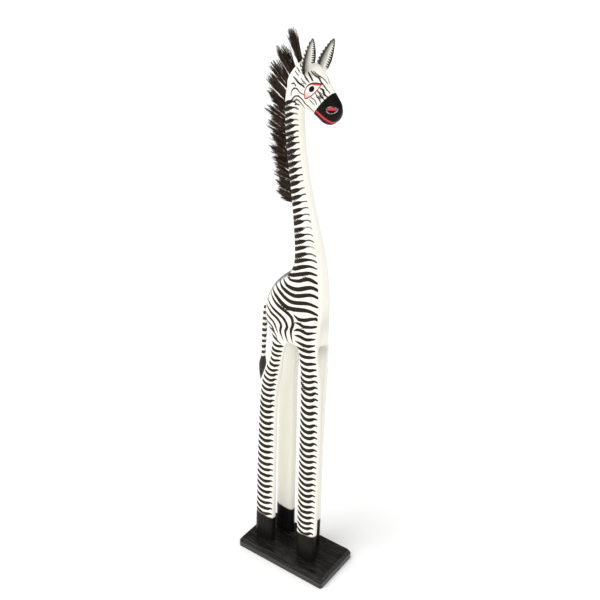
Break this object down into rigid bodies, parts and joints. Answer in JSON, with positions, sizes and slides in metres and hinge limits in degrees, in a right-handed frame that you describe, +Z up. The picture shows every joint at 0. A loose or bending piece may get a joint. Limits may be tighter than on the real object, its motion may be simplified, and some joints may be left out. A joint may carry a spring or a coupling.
{
  "type": "carved zebra statue",
  "caption": "Tall carved and painted wooden zebra with a long neck, upright ears and bristle mane, standing on a dark rectangular plank.",
  "frame": {"origin": "middle of the base plank's underside", "axes": "+X is the way the animal faces, along the plank's long side; +Y is the animal's left; +Z is up"},
  "size_m": [0.2, 0.108, 0.9985],
  "materials": {
    "plank": "black stain under satin lacquer",
    "painted_body": "cream paint with hand-brushed black-brown stripes and black hooves, satin",
    "painted_head": "cream paint with black-brown stripes, black muzzle, red mouth, nostrils and eye rims, satin",
    "painted_ear": "cream paint with black ticks outside and a dark shaded hollow inside, satin",
    "painted_tail": "cream paint with black bands and a black brush end, satin",
    "mane_fibre": "dark brown palm fibre, dry and stiff",
    "screw_steel": "zinc plated",
    "dowel_wood": "bare turned hardwood"
  },
  "bodies": {
    "root": {"base_plank": "plank", "body_carving": "painted_body", "head_carving": "painted_head", "ear_right": "painted_ear", "ear_left": "painted_ear", "tail_carving": "painted_tail", "neck_dowel": "dowel_wood", "wood_screw_hind_right": "screw_steel", "wood_screw_front_right": "screw_steel", "wood_screw_hind_left": "screw_steel", "wood_screw_front_left": "screw_steel", "mane_tuft_01": "mane_fibre", "mane_tuft_02": "mane_fibre", "mane_tuft_03": "mane_fibre", "mane_tuft_04": "mane_fibre", "mane_tuft_05": "mane_fibre", "mane_tuft_06": "mane_fibre", "mane_tuft_07": "mane_fibre", "mane_tuft_08": "mane_fibre", "mane_tuft_09": "mane_fibre", "mane_tuft_10": "mane_fibre", "mane_tuft_11": "mane_fibre", "mane_tuft_12": "mane_fibre", "mane_tuft_13": "mane_fibre"}
  },
  "joints": []
}
